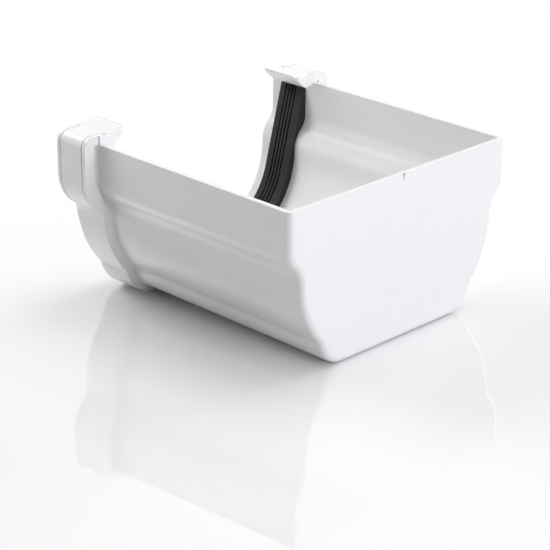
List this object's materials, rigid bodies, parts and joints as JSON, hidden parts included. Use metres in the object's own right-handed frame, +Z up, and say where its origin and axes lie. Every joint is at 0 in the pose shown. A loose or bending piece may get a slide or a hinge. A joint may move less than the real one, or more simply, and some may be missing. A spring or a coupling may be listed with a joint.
{
  "type": "gutter end cap",
  "caption": "Ogee-section gutter end cap: a closed channel with a rubber-sealed mouth and moulded clips that hook over the gutter's rims.",
  "frame": {"origin": "middle of the overall box, at its underside: the underside of the seal housing, midway along the length, on the middle plane", "axes": "+X along the gutter from the mouth toward the end wall, +Y across the channel, +Z up toward the open top"},
  "size_m": [0.1192, 0.1254, 0.07],
  "materials": {
    "white_pvc": "smooth, slightly glossy white moulding",
    "black_rubber": "matt black rubber with moulded ribs"
  },
  "bodies": {
    "root": {"end_cap_body": "white_pvc", "rubber_seal": "black_rubber"}
  },
  "joints": []
}
